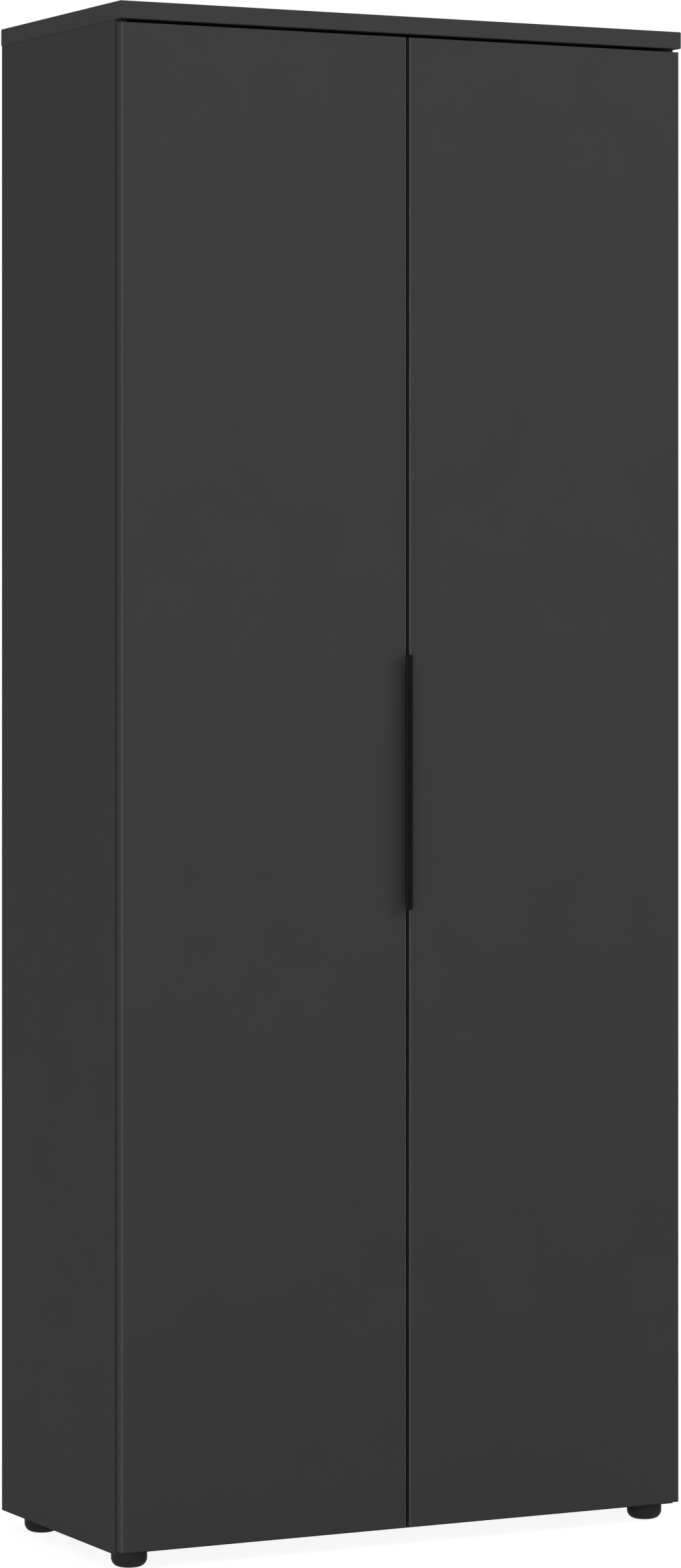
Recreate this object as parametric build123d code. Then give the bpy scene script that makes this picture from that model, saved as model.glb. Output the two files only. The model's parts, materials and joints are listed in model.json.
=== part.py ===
from build123d import *
from collections import namedtuple
import os

# A tall, shallow wardrobe with two hinged doors, in matt boards on round glide feet.
# Millimetres.  +Z is up and the doors face -Y.  The origin is on the floor, under the
# middle of the whole object's box (the pull handle is its front, the boards its back).

# ---- whole cabinet
width = 800.0             # top panel, side to side
depth = 370.0             # top panel, front to back
height = 1935.0           # floor to upper surface
top_thickness = 22.0
board = 16.0              # sides, bottom and shelves
top_side_lip = 1.0        # top past each side panel
top_front_lip = 1.0       # top past the door fronts
front_edging = 1.0        # thin edge band on the carcass boards
front_edging_round = 0.8
thick_edging = 1.5        # edge band round the top and the doors
thick_edging_round = 1.4

# ---- doors
door_thickness = 16.0
door_air = 1.5            # between a closed door's back and the carcass
door_side_inset = 1.5     # door's outer edge inside the side panel's outer face
door_meeting_gap = 5.0    # between the two doors
door_top_gap = 4.2
door_bottom_rise = 4.5    # door's lower edge above the carcass's lower edge
bumper_radius = 4.0
bumper_side_inset = 25.0  # from the door's free edge
bumper_low_inset = 5.5    # lowest pad's centre above the door's lower edge

# ---- pull handle, an angle profile on the left door's free edge
handle_length = 322.0
handle_reach = 14.0       # in front of the door
handle_nose = 8.0         # width of the front leg
handle_wall = 2.0
handle_flange = 22.0      # leg on the back of the door
handle_flange_wall = 1.3
handle_bend = 0.8         # outer rounding of the nose's corners

# ---- glide feet
foot_radius = 22.5
foot_height = 20.0
foot_round = 11.0
foot_side_inset = 30.0    # foot centre from the side panel's outer face
foot_front_inset = 23.0   # foot centre from the carcass's front
foot_rear_inset = 60.5
foot_well_radius = 5.0    # recess for the foot's screw
foot_well_depth = 12.0

# ---- back
back_thickness = 3.0
back_inset = 10.0         # from the rear edge to the back's rear face
back_edge_air = 0.5       # back's edges to the bottoms of their grooves
groove_depth = 7.0
groove_air = 0.2          # on each face of the back
strip_flange = 22.0       # H-section strip between the two halves of the back
strip_wall = 1.0
strip_web = 1.5
strip_end_air = 1.0

# ---- shelves and their supports
hat_space = 320.0         # top's underside to the hat shelf
shoe_space = 300.0        # bottom panel to the lower shelf's underside
lower_shelf_setback = 20.0
shelf_side_air = 1.0      # each end of the loose lower shelf
shelf_rear_air = 0.8      # shelves to the back's strip
hole_pitch = 32.0
hole_rows_apart = 256.0
hole_front_inset = 37.0
hole_radius = 2.5
hole_depth = 9.0
spare_holes = 1           # heights above and below the one in use
peg_end_air = 1.0
support_width = 9.0
support_height = 12.0
support_ledge = 1.5

# ---- clothes rail, front to back
rail_radius = 12.5
rail_wall = 1.2
rail_drop = 48.0          # hat shelf's underside to the rail's axis
rail_front_inset = 45.0
rail_rear_inset = 30.0
bracket_wall = 2.0
bracket_depth = 12.0      # along the rail
bracket_plate_width = 44.0
bracket_plate_thickness = 3.0
bracket_neck_top = 26.0   # neck's width under the plate
bracket_neck_low = 22.0   # neck's width at the rail's axis

# ---- wall brackets, inside under the top against the back
wall_bracket_spacing = 600.0
wall_bracket_wall = 2.0
wall_bracket_leg = 34.0
wall_bracket_width = 24.0
wall_hole_radius = 3.0
wall_hole_drop = 22.0     # top's underside to the wall screw

# ---- four-bar cup hinges; section points are x from the side panel's outer face and
#      y into the cabinet from the closed door's back
hinges_per_door = 3
hinge_end_inset = 110.0   # outermost hinges from the door's ends
cup_radius = 17.5
cup_wall = 1.5
cup_depth = 12.3
cup_floor = 1.0
cup_edge_margin = 4.0     # board left between cup and door edge
cup_flange_side = 2.0     # flange past the cup, side to side
cup_flange_length = 58.0
cup_flange_thickness = 1.0
cup_flange_corner = 9.0
outer_fixed = (28.6, 9.3)     # outer link's pin in the arm
outer_moving = (11.8, -3.8)   # outer link's pin in the cup
inner_fixed = (38.0, 4.5)     # inner link's pin in the arm
inner_moving = (15.4, -8.0)   # inner link's own pin, free in the cup
outer_bends = [(28.4, 4.5), (26.3, -1.5), (22.3, -6.6), (17.2, -8.2), (13.4, -6.6)]
outer_web = [(28.5, 7.0), (28.4, 4.2)]    # where the outer link's plates are joined
inner_bends = [(34.4, 1.8), (31.6, -4.0), (26.0, -7.4), (19.5, -8.6)]
link_width = 2.6
eye_radius = 2.4
eye_sides = 8
pin_radius = 1.1
pin_air = 0.05            # running clearance round each pin
bore_sides = 12           # bores in the links, and the inner links' own pins
cup_pin_end = 0.2         # cup's outer surface to the ends of its pin
inner_link_half = 4.0     # half the inner link's thickness along the pins
outer_plate_in = 4.6      # outer link's two plates, from and to
outer_plate_out = 6.0
arm_plate_in = 6.6        # arm's two side plates, from and to
arm_plate_out = 8.0
arm_wall = 1.2
arm_skin = [(42.2, 2.4), (42.2, 28.0), (34.2, 42.0), (34.2, 62.0)]
arm_mouth = [(23.0, 62.0), (23.0, 16.0), (25.4, 12.0), (25.4, 6.6), (30.0, 2.4)]
saddle_air = 0.1          # mounting plate's saddle to the arm, each side
saddle_top = [(26.0, 22.0), (32.6, 44.0), (32.6, 61.0)]
plate_wing_length = 52.0
plate_wing_width = 14.0
plate_thickness = 3.0
plate_corner = 4.0

# ---- cam locks, their bolts, and dowels
cam_radius = 7.5
cam_sides = 16            # drums and their pockets
cam_depth = 12.5
cam_setback = 24.0        # cam's axis from the board's end
cam_air = 0.1             # round the drum
cam_recess = 0.2          # drum's face below the board's
cam_channel = 7.8         # width of the drum's channel for the bolt
cam_slot = (9.0, 1.6, 2.0)    # driver slot's length, width and depth
tunnel_radius = 3.8       # bore for the bolt, from the board's end to the cam
bolt_radius = 2.5
bolt_bite = 10.0          # in the neighbouring board
bolt_neck = 20.0          # from the neighbouring board to the bolt's head
bolt_head_radius = 3.4
bolt_head_length = 3.0
dowel_radius = 4.0
dowel_length = 30.0
dowel_bite = 11.0         # in the neighbouring board's face
dowel_sides = 12          # dowels, and shelf pegs, their holes and bumpers
fitting_front_inset = 60.0    # from the carcass's front to the first bolt
fitting_rear_inset = 100.0    # from the carcass's rear to the second bolt
dowel_step = 32.0         # from a bolt to the dowel beside it

# ---- screws
screw_sides = 8
screw_head_height = 1.4
small_screw = (1.75, 3.4)     # shank and head radius; handle, cups, rail, wall brackets
small_screw_bite = 11.0
plate_screw = (2.5, 4.0)      # mounting plates and arm clamps
plate_screw_bite = 11.0
clamp_screw_length = 12.0
foot_screw = (2.0, 4.0)
foot_screw_bite = 12.0
handle_screws = 3
cup_screws_apart = 45.0
cup_screw_offset = 9.5        # from the cup's axis, away from the door's edge
plate_screws_apart = 32.0
clamp_screw_y = 53.0          # hinge-section y
rail_screws_apart = 35.0
wall_bracket_screw_inset = 20.0   # from the back

# ---- worked out from the values above
side_x = width / 2 - top_side_lip
inner_x = side_x - board
handle_proud = handle_reach - top_front_lip
rear_y = (depth + handle_proud) / 2
top_front_y = rear_y - depth
door_front_y = top_front_y + top_front_lip
door_back_y = door_front_y + door_thickness
carcass_y = door_back_y + door_air
under_top = height - top_thickness
floor_z = foot_height
bottom_top = floor_z + board
door_low = floor_z + door_bottom_rise
door_high = under_top - door_top_gap
door_outer_x = side_x - door_side_inset
door_inner_x = door_meeting_gap / 2
back_rear_y = rear_y - back_inset
back_front_y = back_rear_y - back_thickness
shelf_rear_y = back_front_y - groove_air - strip_wall - shelf_rear_air
hat_top = under_top - hat_space
hat_low = hat_top - board
lower_shelf_low = bottom_top + shoe_space
lower_shelf_y = carcass_y + lower_shelf_setback
row_y = carcass_y + hole_front_inset
support_z = lower_shelf_low - support_height / 2
support_ys = (row_y, row_y + hole_rows_apart)
foot_x = side_x - foot_side_inset
foot_ys = (carcass_y + foot_front_inset, rear_y - foot_rear_inset)
handle_z = (door_low + door_high) / 2
rail_z = hat_low - rail_drop
rail_ends = (carcass_y + rail_front_inset, shelf_rear_y - rail_rear_inset)
hinge_span = door_high - door_low - 2 * hinge_end_inset
hinge_zs = [door_low + hinge_end_inset + hinge_span * i / (hinges_per_door - 1)
            for i in range(hinges_per_door)]
cup_x = -door_outer_x + cup_edge_margin + cup_radius
bolt_ys = (carcass_y + fitting_front_inset, rear_y - fitting_rear_inset)
dowel_ys = (bolt_ys[0] + dowel_step, bolt_ys[1] - dowel_step)

# A cam joint, on the left: where the two boards meet at y 0, the way into the board that
# holds the cams, and the way its cams face.
CamJoint = namedtuple("CamJoint", "start along face")
bottom_joint = CamJoint((-inner_x, 0, floor_z + board / 2), (1, 0, 0), (0, 0, -1))
hat_joint = CamJoint((-inner_x, 0, hat_low + board / 2), (1, 0, 0), (0, 0, -1))
top_joint = CamJoint((-side_x + board / 2, 0, under_top), (0, 0, -1), (1, 0, 0))

# A screw: where its head bears, the way it points, its shank's length and its two radii.
Screw = namedtuple("Screw", "start axis length radius head")


# ---- small helpers
def block(x, y, z):
    """Box between the two values given for each axis."""
    size = [abs(v[1] - v[0]) for v in (x, y, z)]
    middle = [(v[1] + v[0]) / 2 for v in (x, y, z)]
    return Pos(*middle) * Box(*size)


def rod(start, axis, length, radius):
    """Cylinder that runs from a start point along an axis."""
    plane = Plane(origin=start, z_dir=axis)
    return plane * Cylinder(radius, length, align=(Align.CENTER, Align.CENTER, Align.MIN))


def prism(start, axis, length, radius, sides=screw_sides):
    """Prism on a regular polygon that runs from a start point along an axis."""
    return Plane(origin=start, z_dir=axis) * extrude(RegularPolygon(radius, sides), length)


def shank(screw):
    """A screw's shank, and the hole it needs in what it holds."""
    return prism(screw.start, screw.axis, screw.length, screw.radius)


def whole(screw):
    """Shank and low head of a screw."""
    back = tuple(-v for v in screw.axis)
    return shank(screw) + prism(screw.start, back, screw_head_height, screw.head)


def upright(outline, z):
    """Outline in X and Y, carried between two heights."""
    face = make_face(Polyline(*outline, close=True))
    return Pos(0, 0, z[0]) * extrude(face, z[1] - z[0])


def flipped(shape):
    """The right-hand twin of a left-hand piece."""
    return mirror(shape, about=Plane.YZ)


def both_sides(shape):
    return [shape, flipped(shape)]


def save(name, *shapes):
    """Write one node; several shapes stay separate solids."""
    solids = [solid for shape in shapes for solid in shape.solids()]
    result = solids[0] if len(solids) == 1 else Compound(children=solids)
    result.label = name
    export_step(result, os.path.join("parts", name + ".step"))


# ---- edge bands
def thick_band(x, y, z, faces_axis):
    """Rounded band round a board's four edges; the board's faces are square to the axis."""
    outer = block(x, y, z)
    rims = [e for e in outer.edges() if abs(e.tangent_at(0.5).dot(faces_axis)) < 0.5]
    outer = fillet(rims, thick_edging_round)
    inner = [v if along else (v[0] + thick_edging, v[1] - thick_edging)
             for v, along in zip((x, y, z), tuple(faces_axis))]
    return outer - block(*inner)


def thin_band(x, front, z, length_axis):
    """Thin band on a board's front edge, its two long front corners rounded."""
    strip = block(x, (front, front + front_edging), z)
    corners = strip.edges().filter_by(length_axis).group_by(Axis.Y)[0]
    return fillet(corners, front_edging_round)


# ---- cam locks, bolts and dowels
def along_joint(joint, y, distance):
    """Point at a distance into the cams' board; below 0 is in the neighbouring board."""
    return tuple(Vector(*joint.start) + Vector(0, y, 0) + Vector(*joint.along) * distance)


def cam_plane(joint, y):
    """Plane at the mouth of a cam's pocket, its X towards the end of the board."""
    mouth = Vector(*along_joint(joint, y, cam_setback)) + Vector(*joint.face) * (board / 2)
    return Plane(origin=mouth, x_dir=Vector(*joint.along) * -1, z_dir=joint.face)


def cam_lock():
    """Drum with a channel for the bolt's head and a driver slot across its face."""
    drum = prism((0, 0, -cam_depth), (0, 0, 1), cam_depth - cam_recess, cam_radius - cam_air,
                 cam_sides)
    channel = block((0, cam_radius), (-cam_channel / 2, cam_channel / 2),
                    (-board / 2 - cam_channel / 2, -board / 2 + cam_channel / 2))
    slot = block((-cam_slot[0] / 2, cam_slot[0] / 2), (-cam_slot[1] / 2, cam_slot[1] / 2),
                 (-cam_recess - cam_slot[2], 0))
    return drum - channel - slot


def cam_bolt(joint, y):
    shaft = prism(along_joint(joint, y, -bolt_bite), joint.along, bolt_bite + bolt_neck,
                  bolt_radius)
    return shaft + prism(along_joint(joint, y, bolt_neck), joint.along, bolt_head_length,
                         bolt_head_radius)


def dowel(joint, y):
    return prism(along_joint(joint, y, -dowel_bite), joint.along, dowel_length, dowel_radius,
                 dowel_sides)


def cam_cuts(joint):
    """Cam pockets and bolt tunnels, and the dowels' holes, in the cams' board."""
    pockets = [cam_plane(joint, y) * prism((0, 0, -cam_depth), (0, 0, 1), cam_depth, cam_radius,
                                           cam_sides) for y in bolt_ys]
    tunnels = [prism(along_joint(joint, y, 0), joint.along, cam_setback, tunnel_radius)
               for y in bolt_ys]
    return pockets + tunnels + [dowel(joint, y) for y in dowel_ys]


def bolt_cuts(joint):
    """The bolts' and dowels' holes in the neighbouring board's face."""
    return [cam_bolt(joint, y) for y in bolt_ys] + [dowel(joint, y) for y in dowel_ys]


# ---- screws, on the left side and at height 0 for the hinges
def small_screw_at(start, axis, plate):
    """Small screw through a plate and into a board."""
    return Screw(start, axis, plate + small_screw_bite, *small_screw)


def handle_screw_list():
    x = -door_inner_x - (thick_edging + handle_flange) / 2
    step = handle_length / handle_screws
    lowest = handle_z - step * (handle_screws - 1) / 2
    return [small_screw_at((x, door_back_y + handle_flange_wall, lowest + step * i),
                           (0, -1, 0), handle_flange_wall) for i in range(handle_screws)]


def cup_screw_list():
    start_y = door_back_y + cup_flange_thickness
    return [small_screw_at((cup_x + cup_screw_offset, start_y, side * cup_screws_apart / 2),
                           (0, -1, 0), cup_flange_thickness) for side in (-1, 1)]


def plate_screw_list():
    return [Screw((-inner_x + plate_thickness, row_y, side * plate_screws_apart / 2),
                  (-1, 0, 0), plate_thickness + plate_screw_bite, *plate_screw)
            for side in (-1, 1)]


def clamp_screw():
    """The screw that clamps a hinge's arm to its mounting plate."""
    x, y = place((arm_skin[-1][0], clamp_screw_y))
    return Screw((x, y, 0), (-1, 0, 0), clamp_screw_length, *plate_screw)


def rail_screw_list(end_y, inward):
    y = end_y + inward * (bracket_depth / 2 - bracket_wall)
    return [small_screw_at((side * rail_screws_apart / 2, y, hat_low - bracket_plate_thickness),
                           (0, 0, 1), bracket_plate_thickness) for side in (-1, 1)]


def wall_bracket_screw():
    start = (-wall_bracket_spacing / 2, back_front_y - wall_bracket_screw_inset,
             under_top - wall_bracket_wall)
    return small_screw_at(start, (0, 0, 1), wall_bracket_wall)


def foot_screw_list():
    return [Screw((x, y, foot_well_depth), (0, 0, 1), floor_z - foot_well_depth + foot_screw_bite,
                  *foot_screw) for x in (-foot_x, foot_x) for y in foot_ys]


def at_hinges(shapes):
    """Copies of a hinge's shapes at every hinge height."""
    return [Pos(0, 0, z) * shape for z in hinge_zs for shape in shapes]


# ---- boards
def back_groove(x, z):
    """The slot that the back's edge stands in."""
    return block(x, (back_front_y - groove_air, back_rear_y + groove_air), z)


def support_holes():
    """Shelf-support holes in the left side panel's inner face."""
    return [prism((-inner_x, y, support_z + hole_pitch * step), (-1, 0, 0), hole_depth,
                  hole_radius, dowel_sides)
            for y in support_ys for step in range(-spare_holes, spare_holes + 1)]


def side_panel():
    solid = block((-side_x, -inner_x), (carcass_y + front_edging, rear_y), (floor_z, under_top))
    groove = back_groove((-inner_x - groove_depth, -inner_x), (floor_z, under_top))
    fittings = cam_cuts(top_joint) + bolt_cuts(bottom_joint) + bolt_cuts(hat_joint)
    screws = at_hinges([shank(screw) for screw in plate_screw_list()])
    return solid - groove - support_holes() - fittings - screws


def bottom_panel():
    solid = block((-inner_x, inner_x), (carcass_y + front_edging, rear_y), (floor_z, bottom_top))
    groove = back_groove((-inner_x, inner_x), (bottom_top - groove_depth, bottom_top))
    fittings = [twin for cut in cam_cuts(bottom_joint) for twin in both_sides(cut)]
    return solid - groove - fittings - [shank(screw) for screw in foot_screw_list()]


def top_panel():
    half = width / 2 - thick_edging
    reach = inner_x + groove_depth
    solid = block((-half, half), (top_front_y + thick_edging, rear_y - thick_edging),
                  (under_top, height))
    groove = back_groove((-reach, reach), (under_top, under_top + groove_depth))
    cuts = bolt_cuts(top_joint) + [shank(wall_bracket_screw())]
    return solid - groove - [twin for cut in cuts for twin in both_sides(cut)]


def shelf(reach, front, low):
    return block((-reach, reach), (front + front_edging, shelf_rear_y), (low, low + board))


def hat_shelf():
    """Fixed shelf, on cam locks like the bottom panel; it carries the clothes rail."""
    screws = rail_screw_list(rail_ends[0], 1) + rail_screw_list(rail_ends[1], -1)
    fittings = [twin for cut in cam_cuts(hat_joint) for twin in both_sides(cut)]
    return shelf(inner_x, carcass_y, hat_low) - fittings - [shank(screw) for screw in screws]


def shelf_band(reach, front, low):
    return thin_band((-reach, reach), front, (low, low + board), Axis.X)


def shelf_support(y):
    """Steel shelf support: a peg, a plate on the side panel and a ledge under the shelf."""
    wide = (y - support_width / 2, y + support_width / 2)
    high = (lower_shelf_low - support_height, lower_shelf_low)
    peg = prism((-inner_x, y, support_z), (-1, 0, 0), hole_depth - peg_end_air, hole_radius,
                dowel_sides)
    plate = block((-inner_x, -inner_x + shelf_side_air), wide, high)
    ledge = block((-inner_x, -inner_x + support_width), wide, (high[1] - support_ledge, high[1]))
    return peg + plate + ledge


# ---- back
def back_half():
    """Left half of the back, held in three grooves and in the joining strip."""
    outer = inner_x + groove_depth - back_edge_air
    sheet = block((-outer, -strip_web / 2 - back_edge_air), (back_front_y, back_rear_y),
                  (bottom_top - groove_depth + back_edge_air,
                   under_top + groove_depth - back_edge_air))
    hole = rod((-wall_bracket_spacing / 2, back_front_y, under_top - wall_hole_drop),
               (0, 1, 0), back_thickness, wall_hole_radius)
    return sheet - hole


def back_strip():
    """H-section strip that joins the two halves of the back."""
    front = back_front_y - groove_air
    rear = back_rear_y + groove_air
    high = (bottom_top + strip_end_air, under_top - strip_end_air)
    flange = (-strip_flange / 2, strip_flange / 2)
    web = block((-strip_web / 2, strip_web / 2), (front, rear), high)
    return (web + block(flange, (front - strip_wall, front), high)
            + block(flange, (rear, rear + strip_wall), high))


# ---- feet
def foot(x, y):
    """Round glide with a deep rounded lower edge and a well for its screw."""
    body = rod((x, y, 0), (0, 0, 1), foot_height, foot_radius)
    body = fillet(body.edges().group_by(Axis.Z)[0], foot_round)
    well = rod((x, y, 0), (0, 0, 1), foot_well_depth, foot_well_radius)
    hole = prism((x, y, foot_well_depth), (0, 0, 1), foot_height - foot_well_depth, foot_screw[0])
    return body - well - hole


# ---- doors
def door_board():
    """Left door without its edge band, bored for the hinge cups."""
    solid = block((-door_outer_x + thick_edging, -door_inner_x - thick_edging),
                  (door_front_y, door_back_y),
                  (door_low + thick_edging, door_high - thick_edging))
    cup_bore = rod((cup_x, door_back_y, 0), (0, -1, 0), cup_depth, cup_radius)
    return solid - at_hinges([cup_bore] + [shank(screw) for screw in cup_screw_list()])


def door_band():
    return thick_band((-door_outer_x, -door_inner_x), (door_front_y, door_back_y),
                      (door_low, door_high), Vector(0, 1, 0))


def bumpers():
    """Thin pads on the door's back, where it meets the bottom panel and the hat shelf."""
    return [prism((-door_inner_x - bumper_side_inset, door_back_y, z), (0, 1, 0), door_air,
                  bumper_radius, dowel_sides)
            for z in (door_low + bumper_low_inset, hat_low + board / 2)]


def handle():
    """Bent profile: a leg behind the door, a web through the gap, a nose turned back left."""
    edge = -door_inner_x
    web = edge + handle_wall
    leg = edge - handle_flange
    nose = web - handle_nose
    front = door_front_y - handle_reach
    rear = door_back_y + handle_flange_wall
    outline = [(leg, door_back_y), (edge, door_back_y), (edge, front + handle_wall),
               (nose, front + handle_wall), (nose, front), (web, front), (web, rear),
               (leg, rear)]
    profile = upright(outline, (handle_z - handle_length / 2, handle_z + handle_length / 2))
    corners = profile.edges().filter_by(Axis.Z).group_by(Axis.Y)[0]
    return fillet(corners, handle_bend) - [shank(screw) for screw in handle_screw_list()]


# ---- hinges, drawn on the left side at height 0 and copied to each hinge height
def place(point):
    """Hinge-section point on the left side of the cabinet."""
    return (-side_x + point[0], door_back_y + point[1])


def band_outline(points, half):
    """Outline of a strip of constant width along the points, with mitred bends."""
    spots = [Vector(*place(p)) for p in points]
    steps = [(b - a).normalized() for a, b in zip(spots, spots[1:])]
    left, right = [], []
    for spot, before, after in zip(spots, steps[:1] + steps, steps + steps[-1:]):
        mitre = (before + after).normalized()
        side = Vector(-mitre.Y, mitre.X) * (half / mitre.dot(before))
        left.append(spot + side)
        right.append(spot - side)
    return left + right[::-1]


def link_plate(points, bored, z):
    """Hooked strip with an eye at each end, and a bore in the eyes that turn on a pin."""
    face = make_face(Polyline(*band_outline(points, link_width / 2), close=True))
    for end in (points[0], points[-1]):
        face += Pos(*place(end)) * RegularPolygon(eye_radius, eye_sides)
    for end in bored:
        face -= Pos(*place(end)) * RegularPolygon(pin_radius + pin_air, bore_sides,
                                                  major_radius=False)
    return Pos(0, 0, z[0]) * extrude(face, z[1] - z[0])


def hinge_pin(point, half):
    """Round pin, fast in the arm or the cup."""
    return extrude(Pos(*place(point)) * Circle(pin_radius), half, both=True)


def inner_link():
    """One thick hooked plate on the arm's inner pin, with its own short pin in the cup."""
    points = [inner_fixed, *inner_bends, inner_moving]
    plate = link_plate(points, (inner_fixed,), (-inner_link_half, inner_link_half))
    section = Pos(*place(inner_moving)) * RegularPolygon(pin_radius, bore_sides)
    return plate + extrude(section, (inner_link_half + outer_plate_in) / 2, both=True)


def outer_link():
    """Two hooked plates astride the inner link, joined by a web halfway along."""
    points = [outer_fixed, *outer_bends, outer_moving]
    upper = link_plate(points, (outer_fixed, outer_moving), (outer_plate_in, outer_plate_out))
    web = upright(band_outline(outer_web, link_width / 2), (-outer_plate_in, outer_plate_in))
    return upper + mirror(upper, about=Plane.XY) + web


def hinge_cup():
    """Pressed cup with a flange on the door's back, and the outer link's pin across it."""
    flange_x = cup_radius + cup_flange_side
    flange_z = cup_flange_length / 2
    flange = block((cup_x - flange_x, cup_x + flange_x),
                   (door_back_y, door_back_y + cup_flange_thickness), (-flange_z, flange_z))
    flange = chamfer(flange.edges().filter_by(Axis.Y), cup_flange_corner)
    body = rod((cup_x, door_back_y, 0), (0, -1, 0), cup_depth, cup_radius)
    bowl = rod((cup_x, door_back_y + cup_flange_thickness, 0), (0, -1, 0),
               cup_flange_thickness + cup_depth - cup_floor, cup_radius - cup_wall)
    chord = cup_x - place(outer_moving)[0] + pin_radius
    pin_half = (cup_radius ** 2 - chord ** 2) ** 0.5 - cup_pin_end
    holes = [shank(screw) for screw in cup_screw_list()]
    return flange + body - bowl - holes + hinge_pin(outer_moving, pin_half)


def hinge_arm():
    """Pressed channel: two side plates with two riveted pins, joined along the far side."""
    hollow = [(x - arm_wall, y) for x, y in arm_skin]
    skin = [place(p) for p in arm_skin + hollow[::-1]]
    sides = [place(p) for p in arm_skin + arm_mouth]
    arm = upright(skin, (-arm_plate_in, arm_plate_in))
    arm += [upright(sides, z) for z in ((arm_plate_in, arm_plate_out),
                                        (-arm_plate_out, -arm_plate_in))]
    arm -= shank(clamp_screw())
    middle = (arm_plate_in + arm_plate_out) / 2
    return arm + [hinge_pin(point, middle) for point in (outer_fixed, inner_fixed)]


def hinge_plate():
    """Mounting plate: a wedge-shaped saddle inside the arm, and two wings for its screws."""
    half = arm_plate_in - saddle_air
    saddle = [(board, saddle_top[0][1]), *saddle_top, (board, saddle_top[-1][1])]
    wings = block((-inner_x, -inner_x + plate_thickness),
                  (row_y - plate_wing_width / 2, row_y + plate_wing_width / 2),
                  (-plate_wing_length / 2, plate_wing_length / 2))
    wings = chamfer(wings.edges().filter_by(Axis.X), plate_corner)
    screws = [shank(screw) for screw in plate_screw_list() + [clamp_screw()]]
    return upright([place(p) for p in saddle], (-half, half)) + wings - screws


# ---- clothes rail
def clothes_rail():
    length = rail_ends[1] - rail_ends[0]
    start = (0, rail_ends[0], rail_z)
    tube = rod(start, (0, 1, 0), length, rail_radius)
    return tube - rod(start, (0, 1, 0), length, rail_radius - rail_wall)


def rail_bracket(end_y, inward):
    """Cup round one end of the rail, hung from a screwed plate by a tapering neck."""
    rear = max(end_y - inward * bracket_wall, end_y + inward * (bracket_depth - bracket_wall))
    along = (rear - bracket_depth, rear)
    plate_low = hat_low - bracket_plate_thickness
    corners = [(-bracket_neck_top / 2, plate_low), (bracket_neck_top / 2, plate_low),
               (bracket_neck_low / 2, rail_z), (-bracket_neck_low / 2, rail_z)]
    neck = extrude(make_face(Polyline(*corners, close=True)), bracket_depth)
    neck = Plane(origin=(0, along[1], 0), x_dir=(1, 0, 0), z_dir=(0, -1, 0)) * neck
    plate = block((-bracket_plate_width / 2, bracket_plate_width / 2), along, (plate_low, hat_low))
    cup = rod((0, along[0], rail_z), (0, 1, 0), bracket_depth, rail_radius + bracket_wall)
    socket = rod((0, end_y, rail_z), (0, inward, 0), bracket_depth, rail_radius)
    return plate + neck + cup - socket - [shank(screw) for screw in rail_screw_list(end_y, inward)]


# ---- wall brackets
def wall_bracket():
    """Left angle bracket: one leg under the top, the other holed for the wall screw."""
    x = -wall_bracket_spacing / 2
    side = (x - wall_bracket_width / 2, x + wall_bracket_width / 2)
    flat_leg = block(side, (back_front_y - wall_bracket_leg, back_front_y),
                     (under_top - wall_bracket_wall, under_top))
    wall_leg = block(side, (back_front_y - wall_bracket_wall, back_front_y),
                     (under_top - wall_bracket_leg, under_top))
    hole = rod((x, back_front_y, under_top - wall_hole_drop), (0, -1, 0),
               wall_bracket_wall, wall_hole_radius)
    return flat_leg + wall_leg - hole - shank(wall_bracket_screw())


# ---- writing the pieces
def write_pair(name, *left):
    """A left-hand node and its mirrored right-hand twin."""
    save("left_" + name, *left)
    save("right_" + name, *[flipped(piece) for piece in left])


def write_carcass():
    write_pair("side_panel", side_panel())
    write_pair("side_edging", thin_band((-side_x, -inner_x), carcass_y, (floor_z, under_top),
                                        Axis.Z))
    save("top_panel", top_panel())
    save("top_edging", thick_band((-width / 2, width / 2), (top_front_y, rear_y),
                                  (under_top, height), Vector(0, 0, 1)))
    save("bottom_panel", bottom_panel())
    save("bottom_edging", thin_band((-inner_x, inner_x), carcass_y, (floor_z, bottom_top),
                                    Axis.X))
    save("hat_shelf", hat_shelf())
    save("hat_shelf_edging", shelf_band(inner_x, carcass_y, hat_low))
    reach = inner_x - shelf_side_air
    save("lower_shelf", shelf(reach, lower_shelf_y, lower_shelf_low))
    save("lower_shelf_edging", shelf_band(reach, lower_shelf_y, lower_shelf_low))
    write_pair("back_panel", back_half())
    save("back_strip", back_strip())


def write_fittings():
    write_pair("shelf_supports", *[shelf_support(y) for y in support_ys])
    save("glide_feet", *[foot(x, y) for x in (-foot_x, foot_x) for y in foot_ys])
    save("clothes_rail", clothes_rail())
    save("rail_brackets", rail_bracket(rail_ends[0], 1), rail_bracket(rail_ends[1], -1))
    save("wall_brackets", *both_sides(wall_bracket()))


def write_joinery():
    """Cam locks, bolts and dowels of the three cam joints, left and right."""
    joints = (bottom_joint, hat_joint, top_joint)
    locks = [cam_plane(joint, y) * cam_lock() for joint in joints for y in bolt_ys]
    bolts = [cam_bolt(joint, y) for joint in joints for y in bolt_ys]
    dowels = [dowel(joint, y) for joint in joints for y in dowel_ys]
    for name, pieces in (("cam_locks", locks), ("cam_bolts", bolts), ("dowels", dowels)):
        save(name, *[twin for piece in pieces for twin in both_sides(piece)])


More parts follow.
